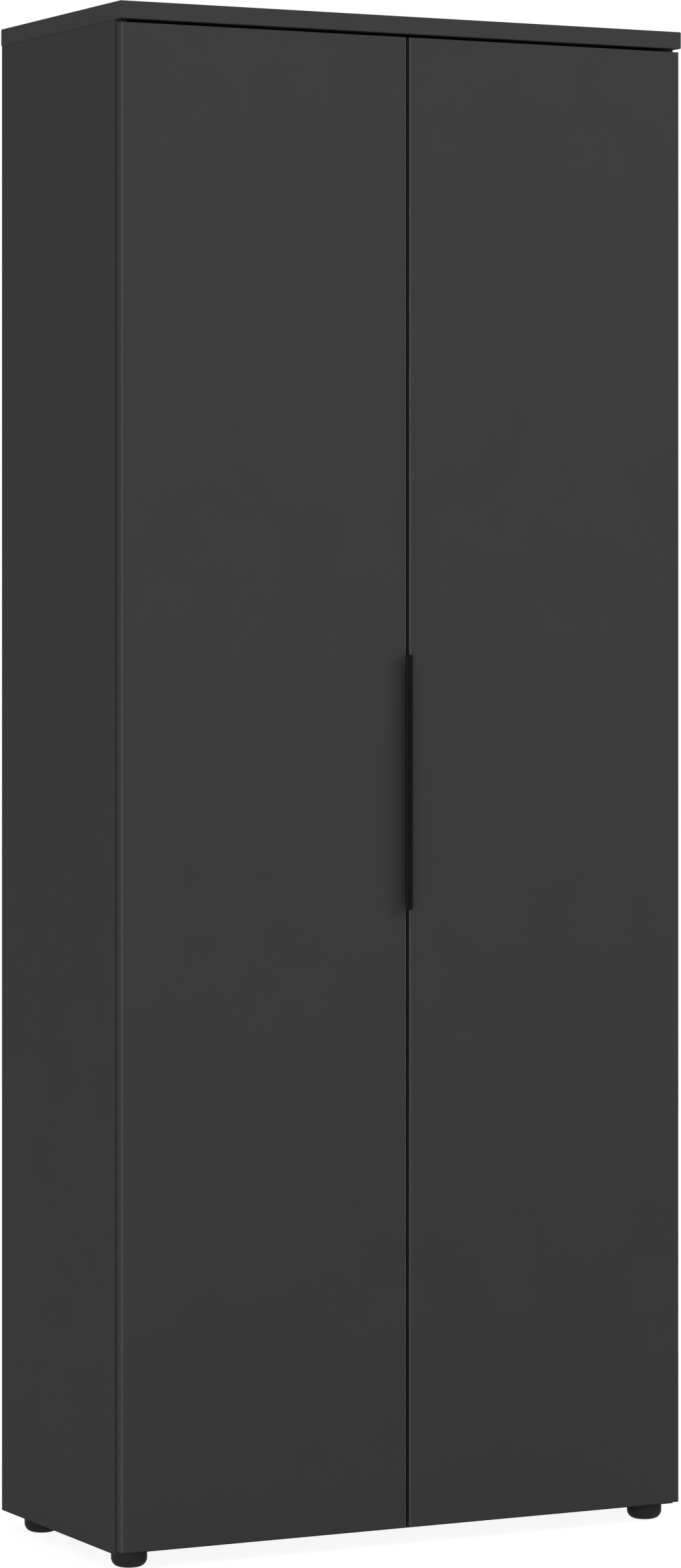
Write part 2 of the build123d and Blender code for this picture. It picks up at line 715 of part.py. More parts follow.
def write_screws():
    save("foot_screws", *[whole(screw) for screw in foot_screw_list()])
    rail_screws = rail_screw_list(rail_ends[0], 1) + rail_screw_list(rail_ends[1], -1)
    save("rail_screws", *[whole(screw) for screw in rail_screws])
    save("wall_bracket_screws", *both_sides(whole(wall_bracket_screw())))
    save("handle_screws", *[whole(screw) for screw in handle_screw_list()])
    write_pair("cup_screws", *at_hinges([whole(screw) for screw in cup_screw_list()]))
    write_pair("plate_screws", *at_hinges([whole(screw) for screw in plate_screw_list()]))
    write_pair("clamp_screws", *at_hinges([whole(clamp_screw())]))


def write_doors():
    door = door_board()
    save("left_door", door - [shank(screw) for screw in handle_screw_list()])
    save("right_door", flipped(door))
    write_pair("door_edging", door_band())
    write_pair("door_bumpers", *bumpers())
    save("pull_handle", handle())


def write_hinges():
    pieces = {"hinge_cups": hinge_cup(), "hinge_arms": hinge_arm(),
              "hinge_plates": hinge_plate(), "outer_links": outer_link(),
              "inner_links": inner_link()}
    for name, piece in pieces.items():
        write_pair(name, *at_hinges([piece]))


os.makedirs("parts", exist_ok=True)
write_carcass()
write_fittings()
write_joinery()
write_screws()
write_doors()
write_hinges()
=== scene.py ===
import json
import bpy
import numpy as np
from math import radians
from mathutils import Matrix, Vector

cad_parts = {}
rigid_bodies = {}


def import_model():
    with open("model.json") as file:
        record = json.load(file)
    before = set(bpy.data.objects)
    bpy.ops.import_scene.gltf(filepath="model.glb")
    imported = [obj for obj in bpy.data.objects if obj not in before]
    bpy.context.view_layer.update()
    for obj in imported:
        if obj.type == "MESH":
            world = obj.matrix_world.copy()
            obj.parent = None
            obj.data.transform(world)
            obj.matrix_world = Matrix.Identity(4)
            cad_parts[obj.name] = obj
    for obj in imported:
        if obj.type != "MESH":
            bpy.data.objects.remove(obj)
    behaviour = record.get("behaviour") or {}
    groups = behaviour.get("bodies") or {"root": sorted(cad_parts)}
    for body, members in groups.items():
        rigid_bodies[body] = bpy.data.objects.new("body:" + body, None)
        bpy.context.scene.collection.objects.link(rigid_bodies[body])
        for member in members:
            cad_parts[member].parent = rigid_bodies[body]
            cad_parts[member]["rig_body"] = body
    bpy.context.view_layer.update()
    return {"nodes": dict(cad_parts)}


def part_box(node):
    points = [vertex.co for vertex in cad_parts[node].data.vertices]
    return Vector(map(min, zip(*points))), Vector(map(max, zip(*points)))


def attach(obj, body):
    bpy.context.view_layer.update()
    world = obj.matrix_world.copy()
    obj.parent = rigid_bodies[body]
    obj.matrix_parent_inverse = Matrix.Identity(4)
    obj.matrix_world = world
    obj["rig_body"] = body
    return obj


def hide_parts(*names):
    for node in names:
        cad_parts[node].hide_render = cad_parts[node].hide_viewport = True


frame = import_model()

nodes = frame["nodes"]
print("stage: frame loaded,", len(nodes), "nodes")

toneFade = (0.3, 0.7)   # where on its noise a finish goes from the darker to the paler tone
facingLimit = 0.5       # a face looks along an axis if its normal has more than this part of it


# helpers for the materials, whose patterns read the piece's own Object coordinates
def startMaterial(name):
    mat = bpy.data.materials.new(name)
    mat.use_nodes = True
    tree = mat.node_tree
    shader = tree.nodes["Principled BSDF"]
    coords = tree.nodes.new("ShaderNodeTexCoord")
    return mat, tree, shader, coords


def setSockets(node, values):
    for key, value in values.items():
        node.inputs[key].default_value = value


def feed(tree, value, target):
    # a value is another node's output, or a plain number or colour
    if isinstance(value, bpy.types.NodeSocket):
        tree.links.new(value, target)
    else:
        target.default_value = value


def addNoise(tree, coords, scale, detail, roughness=0.5, stretch=(1, 1, 1)):
    mapping = tree.nodes.new("ShaderNodeMapping")
    mapping.inputs["Scale"].default_value = stretch
    tree.links.new(coords.outputs["Object"], mapping.inputs["Vector"])
    noise = tree.nodes.new("ShaderNodeTexNoise")
    setSockets(noise, {"Scale": scale, "Detail": detail, "Roughness": roughness})
    tree.links.new(mapping.outputs["Vector"], noise.inputs["Vector"])
    return noise.outputs["Fac"]


def addRamp(tree, source, limits, darkColour, paleColour):
    # a noise value between the limits fades from the dark colour to the pale one
    ramp = tree.nodes.new("ShaderNodeValToRGB")
    for element, position, colour in zip(ramp.color_ramp.elements, limits, (darkColour, paleColour)):
        element.position = position
        element.color = (*colour, 1)
    tree.links.new(source, ramp.inputs["Fac"])
    return ramp.outputs["Color"]


def addTone(tree, source, colour, wander):
    # the colour, darker and paler by the share that it wanders
    dark = tuple(channel * (1 - wander) for channel in colour)
    pale = tuple(channel * (1 + wander) for channel in colour)
    return addRamp(tree, source, toneFade, dark, pale)


def roughen(tree, source, shader, limits):
    # the roughness goes from the first limit to the second with a 0 to 1 noise
    spread = tree.nodes.new("ShaderNodeMapRange")
    setSockets(spread, {"To Min": limits[0], "To Max": limits[1]})
    tree.links.new(source, spread.inputs["Value"])
    tree.links.new(spread.outputs["Result"], shader.inputs["Roughness"])


def addBump(tree, source, shader, strength, distance):
    bump = tree.nodes.new("ShaderNodeBump")
    setSockets(bump, {"Strength": strength, "Distance": distance})
    tree.links.new(source, bump.inputs["Height"])
    tree.links.new(bump.outputs["Normal"], shader.inputs["Normal"])


def addMath(tree, operation, *values):
    maths = tree.nodes.new("ShaderNodeMath")
    maths.operation = operation
    for value, target in zip(values, maths.inputs):
        feed(tree, value, target)
    return maths.outputs["Value"]


def blendColours(tree, amount, first, second):
    # the first colour where the amount is 0, the second where it is 1
    mix = tree.nodes.new("ShaderNodeMix")
    mix.data_type = "RGBA"
    tree.links.new(amount, mix.inputs["Factor"])
    feed(tree, first, mix.inputs["A"])
    feed(tree, second, mix.inputs["B"])
    return mix.outputs["Result"]


def splitNormal(tree, coords):
    # x, y and z of the object's own surface normal
    split = tree.nodes.new("ShaderNodeSeparateXYZ")
    tree.links.new(coords.outputs["Normal"], split.inputs["Vector"])
    return split.outputs


def addFacing(tree, coords, axis, sign):
    # 1 where the surface faces along one of the object's own axes, 0 elsewhere
    operation = "GREATER_THAN" if sign > 0 else "LESS_THAN"
    return addMath(tree, operation, splitNormal(tree, coords)[axis], facingLimit * sign)


# boards: matt melamine with a fine pearl texture, raw chipboard where nothing covers it
melamine = {
    "colour": (0.0370, 0.0370, 0.0372),
    "wander": 0.02,           # how far the colour wanders, as a share
    "mottleScale": 14.0,
    "mottleDetail": 4.0,
    "pearlScale": 2100.0,     # fine press texture
    "pearlDetail": 2.0,
    "pearlBump": 0.35,
    "pearlDepth": 0.00002,
    "roughness": (0.58, 0.66),
    "specular": 0.05,
}
chipboard = {
    "pale": (0.46, 0.33, 0.20),
    "dark": (0.20, 0.125, 0.065),
    "fade": (0.35, 0.65),
    "flakeScale": 420.0,
    "flakeDetail": 5.0,
    "flakeRoughness": 0.6,
}


def makeMelamine(name, settings, rawFaces=()):
    mat, tree, shader, coords = startMaterial(name)
    mottle = addNoise(tree, coords, settings["mottleScale"], settings["mottleDetail"])
    colour = addTone(tree, mottle, settings["colour"], settings["wander"])
    pearl = addNoise(tree, coords, settings["pearlScale"], settings["pearlDetail"])
    roughen(tree, pearl, shader, settings["roughness"])
    addBump(tree, pearl, shader, settings["pearlBump"], settings["pearlDepth"])
    shader.inputs["Specular IOR Level"].default_value = settings["specular"]
    for axis, sign in rawFaces:
        flakes = addNoise(tree, coords, chipboard["flakeScale"], chipboard["flakeDetail"],
                          chipboard["flakeRoughness"])
        wood = addRamp(tree, flakes, chipboard["fade"], chipboard["dark"], chipboard["pale"])
        colour = blendColours(tree, addFacing(tree, coords, axis, sign), colour, wood)
    tree.links.new(colour, shader.inputs["Base Color"])
    return mat


# moulded and coated finishes: "scale" and "wander" are the colour's clouds, "grain" and "depth"
# the fine relief
edging = {"colour": (0.0372, 0.0372, 0.0374), "wander": 0.03, "scale": 60.0, "grain": 1500.0,
          "depth": 0.00001, "roughness": (0.52, 0.60), "specular": 0.05}
powderCoat = {"colour": (0.0022, 0.0022, 0.0023), "wander": 0.10, "scale": 150.0, "grain": 3200.0,
              "depth": 0.00002, "roughness": (0.34, 0.42), "specular": 0.06}
footPlastic = {"colour": (0.0285, 0.0285, 0.0290), "wander": 0.08, "scale": 70.0, "grain": 1800.0,
               "depth": 0.00002, "roughness": (0.52, 0.60), "specular": 0.04}
stripPlastic = {"colour": (0.028, 0.028, 0.029), "wander": 0.05, "scale": 40.0, "grain": 1400.0,
                "depth": 0.00002, "roughness": (0.46, 0.56), "specular": 0.08}
beechDowel = {"colour": (0.52, 0.36, 0.20), "wander": 0.2, "scale": 500.0, "grain": 1500.0,
              "depth": 0.00005, "roughness": (0.6, 0.8), "specular": 0.3}
bumperPad = {"colour": (0.34, 0.34, 0.33), "wander": 0.05, "scale": 200.0, "grain": 2500.0,
             "depth": 0.00002, "roughness": (0.30, 0.42), "specular": 0.45}
plasticRelief = {"cloudDetail": 3.0, "grainDetail": 2.0, "bump": 0.4}

# painted light: second colours laid on a first one, from none at the lower amount to full at the
# upper one
# painted highlight: the door edge bands' upright rounded corners get a paler colour that stands in
# for a lamp's reflection
paintedCornerHighlight = {"where": "corner", "colour": (0.104, 0.104, 0.104), "from": 0.28, "to": 0.44}
# painted light: the handle's faces that look left get a paler colour that stands in for light falling
# from the left
paintedLeftLight = {"where": "left", "colour": (0.0158, 0.0158, 0.0160), "from": 0.05, "to": 0.70}


def layPaintedLight(tree, coords, colour, settings):
    # paints light as colour: the amount comes from the object's own normal: |x y|, which is 0.5 on an
    # upright corner, where a painted highlight goes, or -x, which is 1 on a face that looks left,
    # where painted light from the left goes
    normal = splitNormal(tree, coords)
    if settings["where"] == "corner":
        source = addMath(tree, "ABSOLUTE", addMath(tree, "MULTIPLY", normal["X"], normal["Y"]))
    else:
        source = addMath(tree, "MULTIPLY", normal["X"], -1.0)
    amount = tree.nodes.new("ShaderNodeMapRange")
    setSockets(amount, {"From Min": settings["from"], "From Max": settings["to"]})
    tree.links.new(source, amount.inputs["Value"])
    return blendColours(tree, amount.outputs["Result"], colour, (*settings["colour"], 1))


def makePlastic(name, settings, over=None):
    mat, tree, shader, coords = startMaterial(name)
    cloud = addNoise(tree, coords, settings["scale"], plasticRelief["cloudDetail"])
    colour = addTone(tree, cloud, settings["colour"], settings["wander"])
    # where asked, a painted highlight or painted light is laid on the material's colour
    if over:
        colour = layPaintedLight(tree, coords, colour, over)
    tree.links.new(colour, shader.inputs["Base Color"])
    grain = addNoise(tree, coords, settings["grain"], plasticRelief["grainDetail"])
    roughen(tree, grain, shader, settings["roughness"])
    addBump(tree, grain, shader, plasticRelief["bump"], settings["depth"])
    shader.inputs["Specular IOR Level"].default_value = settings["specular"]
    return mat


# plated finishes, streaked along the axes with the smallest stretch
nickel = {"colour": (0.66, 0.655, 0.65), "wander": 0.03, "scale": 160.0, "stretch": (1, 1, 10),
          "roughness": (0.34, 0.42), "metal": 0.86, "bump": 0.05}
zinc = {"colour": (0.58, 0.59, 0.61), "wander": 0.08, "scale": 900.0, "stretch": (1, 1, 1),
        "roughness": (0.32, 0.46), "metal": 0.90, "bump": 0.10}
chrome = {"colour": (0.78, 0.78, 0.80), "wander": 0.02, "scale": 120.0, "stretch": (1, 0.1, 1),
          "roughness": (0.15, 0.20), "metal": 0.90, "bump": 0.02}
metalRelief = {"detail": 4.0, "roughness": 0.6, "depth": 0.00001}


def makeMetal(name, settings):
    mat, tree, shader, coords = startMaterial(name)
    shader.inputs["Metallic"].default_value = settings["metal"]
    streak = addNoise(tree, coords, settings["scale"], metalRelief["detail"],
                      metalRelief["roughness"], settings["stretch"])
    tone = addTone(tree, streak, settings["colour"], settings["wander"])
    tree.links.new(tone, shader.inputs["Base Color"])
    roughen(tree, streak, shader, settings["roughness"])
    addBump(tree, streak, shader, settings["bump"], metalRelief["depth"])
    return mat


# thin fibreboard back: foil inside, bare brown outside
fibreboard = {"pale": (0.30, 0.185, 0.10), "dark": (0.17, 0.10, 0.05), "fade": (0.30, 0.72),
              "scale": 240.0, "detail": 6.0, "noiseRoughness": 0.65, "bump": 0.3, "depth": 0.00005,
              "roughness": 0.75, "specular": 0.05}


def makeBackBoard(name, settings):
    mat, tree, shader, coords = startMaterial(name)
    fibres = addNoise(tree, coords, settings["scale"], settings["detail"], settings["noiseRoughness"])
    brown = addRamp(tree, fibres, settings["fade"], settings["dark"], settings["pale"])
    colour = blendColours(tree, addFacing(tree, coords, "Y", 1), (*melamine["colour"], 1), brown)
    tree.links.new(colour, shader.inputs["Base Color"])
    shader.inputs["Roughness"].default_value = settings["roughness"]
    shader.inputs["Specular IOR Level"].default_value = settings["specular"]
    addBump(tree, fibres, shader, settings["bump"], settings["depth"])
    return mat


finishes = {
    "board": makeMelamine("graphite melamine", melamine),
    "shelf": makeMelamine("graphite melamine with raw rear edge", melamine, [("Y", 1)]),
    "side": makeMelamine("graphite melamine with raw edges", melamine, [("Y", 1), ("Z", -1)]),
    "edging": makePlastic("graphite edge band", edging),
    "doorEdging": makePlastic("graphite door edge band with painted corner highlight", edging, paintedCornerHighlight),
    "back": makeBackBoard("fibreboard back", fibreboard),
    "strip": makePlastic("black joining strip", stripPlastic),
    "handle": makePlastic("black powder coat with painted left light", powderCoat, paintedLeftLight),
    "foot": makePlastic("black foot plastic", footPlastic),
    "bumper": makePlastic("soft bumper", bumperPad),
    "beech": makePlastic("beech dowel", beechDowel),
    "nickel": makeMetal("nickel plated steel", nickel),
    "zinc": makeMetal("zinc plated steel", zinc),
    "chrome": makeMetal("chrome plated steel", chrome),
}


def finishFor(name):
    if "side_panel" in name:
        return "side"
    if name in ("bottom_panel", "hat_shelf", "lower_shelf"):
        return "shelf"
    if name.endswith("edging"):
        return "doorEdging" if "door" in name else "edging"
    if "back_panel" in name:
        return "back"
    if "bumpers" in name:
        return "bumper"
    if "hinge" in name or "links" in name:
        return "nickel"
    if any(word in name for word in ("bracket", "supports", "screws", "cam_")):
        return "zinc"
    return {"back_strip": "strip", "pull_handle": "handle", "glide_feet": "foot",
            "clothes_rail": "chrome", "dowels": "beech"}.get(name, "board")


for nodeName, node in nodes.items():
    node.data.materials.clear()
    node.data.materials.append(finishes[finishFor(nodeName)])
print("stage: finishes given to the frame's nodes")


# turned pieces: a profile of radius and height carried round an axis
def ringAngles(sides):
    return np.linspace(0.0, 2 * np.pi, sides, endpoint=False)


def onRings(radius, height, angle):
    # x = r cos a, y = r sin a, z = h
    points = np.stack((radius * np.cos(angle), radius * np.sin(angle), height), -1)
    return points.reshape(-1, 3)


def turnedSurface(radii, heights, sides, relief=None):
    # row i, side j: radius r and height h of profile point i, at the angle a = 2 pi j / sides;
    # relief(r, h, a) may change r and h, and the first and last points are poles
    shape = (len(radii) - 2, sides)
    angle = np.broadcast_to(ringAngles(sides), shape)
    radius = np.broadcast_to(np.asarray(radii, float)[1:-1, None], shape)
    height = np.broadcast_to(np.asarray(heights, float)[1:-1, None], shape)
    if relief:
        radius, height = relief(radius, height, angle)
    poles = np.array([[0.0, 0.0, heights[0]], [0.0, 0.0, heights[-1]]])
    return np.concatenate((onRings(radius, height, angle), poles)), turnedFaces(*shape)


def turnedFaces(rows, sides):
    # quads between neighbouring rows, and a fan of triangles to each pole
    grid = np.arange(rows * sides).reshape(rows, sides)
    after = np.roll(grid, -1, 1)
    quads = np.stack((grid[:-1], after[:-1], after[1:], grid[1:]), -1).reshape(-1, 4)
    low = np.full(sides, rows * sides)
    lowFan = np.stack((low, after[0], grid[0]), -1)
    highFan = np.stack((low + 1, grid[-1], after[-1]), -1)
    return quads.tolist() + lowFan.tolist() + highFan.tolist()


def loopSurface(radii, heights, sides):
    # a closed loop of radius and height carried round the axis, so it has no poles
    shape = (len(radii), sides)
    radius = np.broadcast_to(np.asarray(radii, float)[:, None], shape)
    height = np.broadcast_to(np.asarray(heights, float)[:, None], shape)
    grid = np.arange(len(radii) * sides).reshape(shape)
    above = np.roll(grid, -1, 0)
    quads = np.stack((grid, np.roll(grid, -1, 1), np.roll(above, -1, 1), above), -1)
    return onRings(radius, height, ringAngles(sides)), quads.reshape(-1, 4).tolist()


def threadShare(height, angle, pitch, depth):
    # the share of the radius left by a V groove that climbs one pitch in a turn: 1 - d |2 p - 1|,
    # where p is the fraction of height / pitch - angle / turn
    phase = (height / pitch - angle / (2 * np.pi)) % 1.0
    return 1 - depth * np.abs(2 * phase - 1)


def fromCross(radius, angle):
    # distance from the middle lines of an upright cross: r times the smaller of |sin a|, |cos a|
    return radius * np.minimum(np.abs(np.sin(angle)), np.abs(np.cos(angle)))


# finding where the solids of a node lie, and putting a surface at each of them
endBand = 0.0002            # points this near to a fastener's end belong to its end face
smoothBelow = radians(38)   # edges that turn more than this stay sharp


def nodePoints(nodeName):
    mesh = nodes[nodeName].data
    points = np.empty(len(mesh.vertices) * 3)
    mesh.vertices.foreach_get("co", points)
    return points.reshape(-1, 3)


def clumps(points, gap):
    # splits a cloud of points wherever nothing lies along one axis for longer than the gap
    for axis in range(3):
        ordered = points[np.argsort(points[:, axis])]
        cuts = np.flatnonzero(np.diff(ordered[:, axis]) > gap) + 1
        if len(cuts):
            return [part for piece in np.split(ordered, cuts) for part in clumps(piece, gap)]
    return [points]


def longAxis(points):
    # the way from a fastener's thin end to its thick one, and the middle of each end
    low, high = points.min(0), points.max(0)
    along = int(np.argmax(high - low))
    spread = []
    for end in (low[along], high[along]):
        ring = points[np.abs(points[:, along] - end) < endBand]
        spread.append(np.ptp(np.delete(ring, along, 1), axis=0).max())
    middle = (low + high) / 2
    ends = [middle.copy(), middle.copy()]
    ends[0][along], ends[1][along] = low[along], high[along]
    if spread[0] > spread[1]:
        ends.reverse()
    return ends[1] - ends[0], ends[0], ends[1]


def findPins(nodeName, gap):
    # the long axis of each fastener of a node, and the length that they share
    pins = [longAxis(part) for part in clumps(nodePoints(nodeName), gap)]
    return pins, float(np.linalg.norm(pins[0][0]))


def turnTo(axis):
    # rotation whose third column is the axis, always a proper turn; the first column is square
    # to it and to the direction, x, y or z, that it has least of
    axis = np.asarray(axis, float) / np.linalg.norm(axis)
    side = np.cross(np.eye(3)[np.argmin(np.abs(axis))], axis)
    side /= np.linalg.norm(side)
    return np.stack((side, np.cross(axis, side), axis), -1)


def placed(surface, places):
    # copies of one surface, each turned to its axis and moved to its place
    points, faces = surface
    copies = [points @ turnTo(axis).T + place for axis, place in places]
    shifted = []
    for shift in range(0, len(points) * len(places), len(points)):
        shifted += [[corner + shift for corner in face] for face in faces]
    return np.concatenate(copies), shifted


def addPiece(name, surface, nodeName, finish):
    points, faces = surface
    mesh = bpy.data.meshes.new(name)
    mesh.from_pydata(points.tolist(), [], faces)
    mesh.polygons.foreach_set("use_smooth", np.ones(len(faces), bool))
    mesh.set_sharp_from_angle(angle=smoothBelow)
    mesh.materials.append(finishes[finish])
    piece = bpy.data.objects.new(name, mesh)
    bpy.context.scene.collection.objects.link(piece)
    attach(piece, nodes[nodeName]["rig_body"])
    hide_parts(nodeName)
    return piece


# glide feet; "apart" is, here and below, less than the space between two neighbours
glideFoot = {"radius": 0.0225, "height": 0.020, "round": 0.011, "well": 0.005, "wellDepth": 0.012,
             "screwHole": 0.002, "topRim": 0.0004, "sides": 96, "steps": 18, "rimEvery": 6,
             "apart": 0.06}


def makeGlideFeet(settings):
    # the loop is the screw's well, a flat ring, a quarter circle, a wall, a small upper rim with
    # fewer steps, the top and the screw hole
    turn = np.linspace(0, np.pi / 2, settings["steps"])
    rimTurn = turn[::settings["rimEvery"]]
    bend, rim = settings["round"], settings["topRim"]
    outer, top = settings["radius"], settings["height"]
    radii = np.concatenate(([settings["screwHole"], settings["well"], settings["well"]],
                            outer - bend + bend * np.sin(turn),
                            outer - rim + rim * np.cos(rimTurn), [settings["screwHole"]]))
    heights = np.concatenate(([settings["wellDepth"], settings["wellDepth"], 0.0],
                              bend - bend * np.cos(turn),
                              top - rim + rim * np.sin(rimTurn), [top]))
    foot = loopSurface(radii, heights, settings["sides"])
    feet = clumps(nodePoints("glide_feet"), settings["apart"])
    places = [((0, 0, 1), (part.min(0) + part.max(0)) / 2 * (1, 1, 0)) for part in feet]
    return addPiece("roundGlideFeet", placed(foot, places), "glide_feet", "foot")


makeGlideFeet(glideFoot)

# screws: a low domed head with a cross recess, and a threaded shank
screwKinds = {
    "small": {"shank": 0.00175, "head": 0.0034, "pitch": 0.0014, "point": 0.0028},
    "plate": {"shank": 0.0025, "head": 0.0040, "pitch": 0.0018, "point": 0.0034},
    "clamp": {"shank": 0.0025, "head": 0.0040, "pitch": 0.0010, "point": 0.0005},
    "foot": {"shank": 0.0020, "head": 0.0040, "pitch": 0.0016, "point": 0.0030},
}
screwShape = {
    "headHeight": 0.0014,
    "rimHeight": 0.00063,     # where the head's upright rim ends and its dome begins
    "underHead": 0.97,        # radius of the head's lower side, as a share of the head's
    "underHeight": 0.0001,
    "domeRows": 12,
    "middleRows": 9,
    "middle": 0.0003,         # radius of the innermost ring
    "crossArm": 0.62,         # length and width of an arm, as shares of the head's radius
    "crossWidth": 0.26,
    "crossDepth": 0.0010,
    "armSlope": 0.35,         # share of an arm's half width that slopes
    "threadDepth": 0.16,
    "threadStop": 0.0004,     # the shank's last row below the head
    "grooveStop": 0.0006,     # the groove ends this far below the head
    "tip": 0.08,              # radius at the point, as a share of the shank's
    "rowsPerTurn": 6,
    "sides": 48,
    "apart": 0.022,
}
screwNodes = {
    "foot_screws": "foot", "rail_screws": "small", "wall_bracket_screws": "small",
    "handle_screws": "small", "left_cup_screws": "small", "right_cup_screws": "small",
    "left_plate_screws": "plate", "right_plate_screws": "plate",
    "left_clamp_screws": "clamp", "right_clamp_screws": "clamp",
}


def screwSurface(length, kind, shape):
    # below the head the radius is r times the thread's share, thinner towards the point; the dome
    # is a quarter ellipse, and its height drops by a cross whose arms slope up to their ends
    shank, head, pitch = kind["shank"], kind["head"], kind["pitch"]
    top, rim = shape["headHeight"], shape["rimHeight"]
    rows = int(length / pitch * shape["rowsPerTurn"])
    low = np.linspace(-length, -shape["threadStop"], rows)
    taper = np.clip((low + length) / kind["point"], shape["tip"], 1.0)
    turn = np.linspace(0, np.pi / 2, shape["domeRows"])[1:-1]
    headRadii = np.concatenate(([shank, head * shape["underHead"], head, head], head * np.cos(turn)))
    headHeights = np.concatenate(([0.0, 0.0, shape["underHeight"], rim],
                                  rim + (top - rim) * np.sin(turn)))
    inner = np.linspace(headRadii[-1], shape["middle"], shape["middleRows"])[1:]
    innerHeights = rim + (top - rim) * np.sqrt(1 - (inner / head) ** 2)
    radii = np.concatenate(([0.0], shank * taper, headRadii, inner, [0.0]))
    heights = np.concatenate(([-length], low, headHeights, innerHeights,
                              [top - shape["crossDepth"]]))

    def relief(radius, height, angle):
        thread = threadShare(height, angle, pitch, shape["threadDepth"])
        radius = np.where(height < -shape["grooveStop"], radius * thread, radius)
        halfWidth = head * shape["crossWidth"] / 2
        slope = shape["armSlope"] * halfWidth
        inArm = np.clip((halfWidth - fromCross(radius, angle)) / slope, 0, 1)
        reach = np.sqrt(np.clip(1 - radius / (head * shape["crossArm"]), 0, 1))
        sunk = shape["crossDepth"] * inArm * reach
        return radius, np.where(height > rim, height - sunk, height)

    return turnedSurface(radii, heights, shape["sides"], relief)


def makeScrews(nodeName, kindName, shape):
    pins, length = findPins(nodeName, shape["apart"])
    screw = screwSurface(length - shape["headHeight"], screwKinds[kindName], shape)
    places = []
    for axis, thin, thick in pins:
        way = axis / np.linalg.norm(axis)
        places.append((way, thick - way * shape["headHeight"]))
    words = nodeName.split("_")
    name = words[0] + "".join(word.capitalize() for word in words[1:])
    return addPiece(name, placed(screw, places), nodeName, "zinc")


for screwNode, screwKind in screwNodes.items():
    makeScrews(screwNode, screwKind, screwShape)

# cam drums: a sunk disc inside a ring, with a cross for the driver in the disc
camDrum = {"radius": 0.0074, "depth": 0.0123, "rim": 0.0005, "rimRows": 5, "disc": 0.0057,
           "discWall": 0.0001, "discDrop": 0.0003, "discRows": 26, "middle": 0.0003,
           "crossReach": 0.0042, "crossHalf": 0.0009, "crossDrop": 0.0022, "sideSlope": 0.0002,
           "endSlope": 0.0003, "sides": 96, "apart": 0.02}


def makeCamDrums(settings):
    # the profile is the base, a wall, a rounded rim, the ring, and the disc, whose height drops
    # by the cross with its sloping sides and ends
    radius, depth, rim = settings["radius"], settings["depth"], settings["rim"]
    disc, drop = settings["disc"], settings["discDrop"]
    turn = np.linspace(0, np.pi / 2, settings["rimRows"])
    discRadii = np.linspace(disc, settings["middle"], settings["discRows"])
    radii = np.concatenate(([0.0, radius - rim], radius - rim + rim * np.cos(turn),
                            [disc + settings["discWall"]], discRadii, [0.0]))
    heights = np.concatenate(([-depth, -depth], -rim + rim * np.sin(turn), [0.0],
                              np.full(settings["discRows"], -drop), [-drop - settings["crossDrop"]]))

    def relief(wide, height, angle):
        across = settings["crossHalf"] - fromCross(wide, angle)
        inside = np.clip(across / settings["sideSlope"], 0, 1)
        inside = inside * np.clip((settings["crossReach"] - wide) / settings["endSlope"], 0, 1)
        return wide, height - settings["crossDrop"] * inside

    drum = turnedSurface(radii, heights, settings["sides"], relief)
    places = []
    for part in clumps(nodePoints("cam_locks"), settings["apart"]):
        # the face looks down, or towards the wardrobe's middle where the axis is level
        low, high = part.min(0), part.max(0)
        mouth = (low + high) / 2
        thin = int(np.argmin(high - low))
        way = np.zeros(3)
        way[thin] = -1.0 if thin == 2 else -np.sign(mouth[0])
        mouth[thin] = high[thin] if way[thin] > 0 else low[thin]
        places.append((way, mouth))
    return addPiece("camDrums", placed(drum, places), "cam_locks", "zinc")


makeCamDrums(camDrum)

# cam bolts; where the neck and the head begin is measured back from the head's end
camBolt = {"shank": 0.0025, "head": 0.0034, "neck": 0.0018, "threadLength": 0.0100,
           "threadInset": 0.0002, "threadRows": 38, "pitch": 0.0016, "threadDepth": 0.15,
           "point": 0.002, "tip": 0.3, "neckStart": 0.0090, "neckFull": 0.0085,
           "headStart": 0.0030, "headHalf": 0.00149, "headRows": 11, "sides": 40, "apart": 0.035}


def makeCamBolts(settings):
    # a pointed thread, a plain shank, a thin neck, and a head whose outline is half an ellipse
    pins, length = findPins("cam_bolts", settings["apart"])
    shank, neck, inset = settings["shank"], settings["neck"], settings["threadInset"]
    threadEnd, headStart = settings["threadLength"], length - settings["headStart"]
    thread = np.linspace(inset, threadEnd - inset, settings["threadRows"])
    taper = np.clip(thread / settings["point"], settings["tip"], 1)
    turn = np.linspace(-np.pi / 2, np.pi / 2, settings["headRows"])[1:-1]
    headRadii = np.maximum(settings["head"] * np.cos(turn), neck)
    headHeights = headStart + settings["headStart"] / 2 + settings["headHalf"] * np.sin(turn)
    radii = np.concatenate(([0.0], shank * taper, [shank, shank, neck, neck], headRadii, [0.0]))
    heights = np.concatenate(([0.0], thread, [threadEnd, length - settings["neckStart"]],
                              [length - settings["neckFull"], headStart], headHeights, [length]))

    def relief(radius, height, angle):
        share = threadShare(height, angle, settings["pitch"], settings["threadDepth"])
        return np.where(height < threadEnd - inset / 2, radius * share, radius), height

    bolt = turnedSurface(radii, heights, settings["sides"], relief)
    places = [(axis, thin) for axis, thin, thick in pins]
    return addPiece("camBolts", placed(bolt, places), "cam_bolts", "zinc")


makeCamBolts(camBolt)

# dowels
flutedDowel = {"radius": 0.0040, "bevel": 0.0010, "flutes": 20, "fluteDepth": 0.05, "sides": 80,
               "apart": 0.031}


